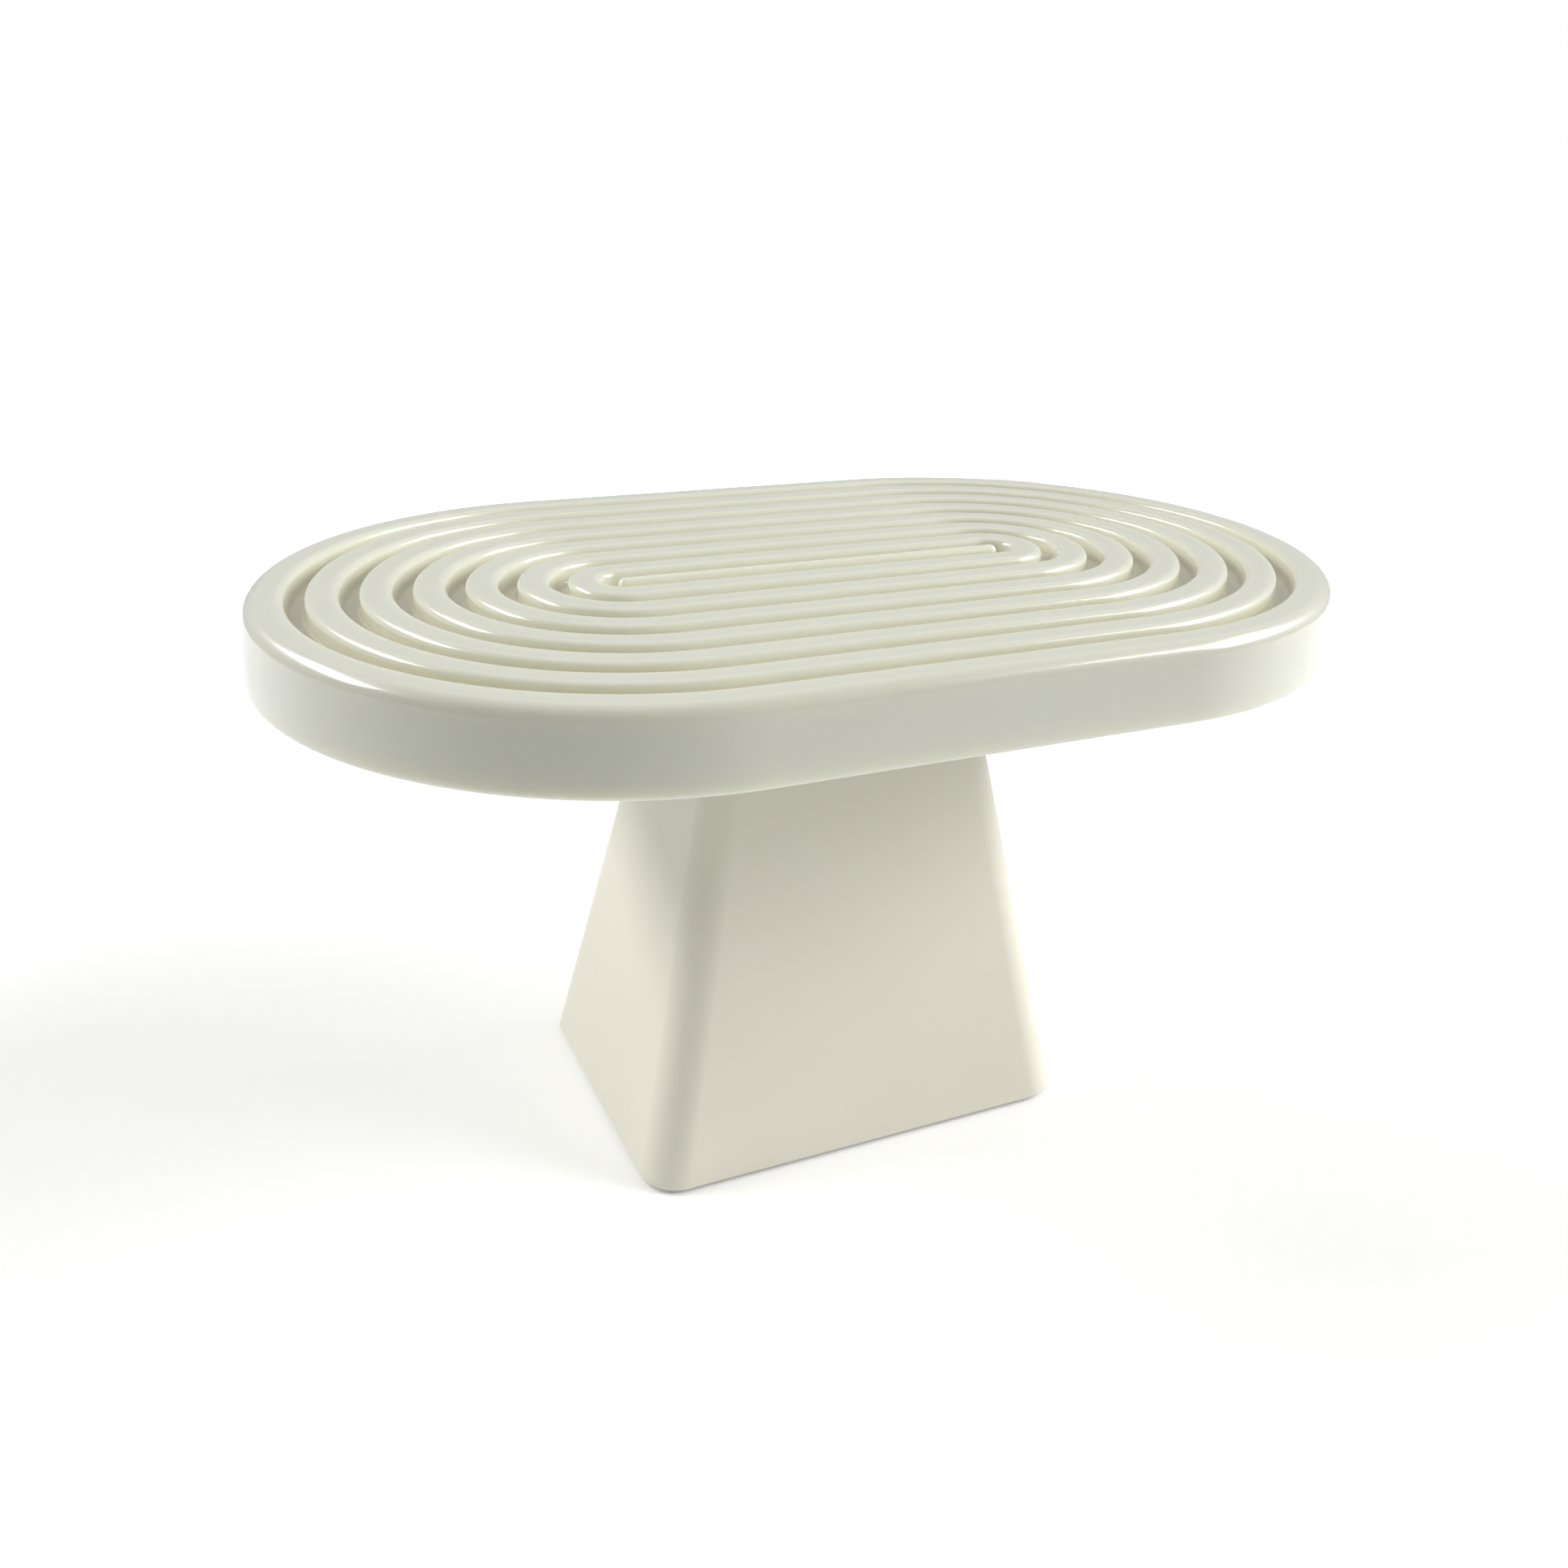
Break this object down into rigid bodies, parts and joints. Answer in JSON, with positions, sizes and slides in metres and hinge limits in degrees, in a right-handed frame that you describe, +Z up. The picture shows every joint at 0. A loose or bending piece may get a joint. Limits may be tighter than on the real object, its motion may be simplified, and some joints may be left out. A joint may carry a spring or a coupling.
{
  "type": "cake stand",
  "caption": "Low oblong cake stand: a thick serving slab with half-round ends and nested oblong grooves, on a hollow tapered pedestal with rubber feet.",
  "frame": {"origin": "on the table under the middle of the stand, level with the undersides of the feet", "axes": "+X along the slab's long side, +Y along its short side, +Z up"},
  "size_m": [0.3, 0.19, 0.161],
  "materials": {
    "slab_enamel": "high gloss, off-white",
    "pedestal_enamel": "satin, warm cream",
    "seat_rubber": "matte, light grey",
    "insert_brass": "turned and knurled",
    "hardware_steel": "zinc plated",
    "foot_rubber": "matte"
  },
  "bodies": {
    "root": {"serving_slab": "slab_enamel", "pedestal_shell": "pedestal_enamel", "joining_seat": "seat_rubber", "threaded_insert_front_left": "insert_brass", "threaded_insert_front_right": "insert_brass", "threaded_insert_back_right": "insert_brass", "threaded_insert_back_left": "insert_brass", "washer_front_left": "hardware_steel", "washer_front_right": "hardware_steel", "washer_back_right": "hardware_steel", "washer_back_left": "hardware_steel", "fixing_screw_front_left": "hardware_steel", "fixing_screw_front_right": "hardware_steel", "fixing_screw_back_right": "hardware_steel", "fixing_screw_back_left": "hardware_steel", "rubber_foot_front_left": "foot_rubber", "rubber_foot_front_right": "foot_rubber", "rubber_foot_back_right": "foot_rubber", "rubber_foot_back_left": "foot_rubber"}
  },
  "joints": []
}
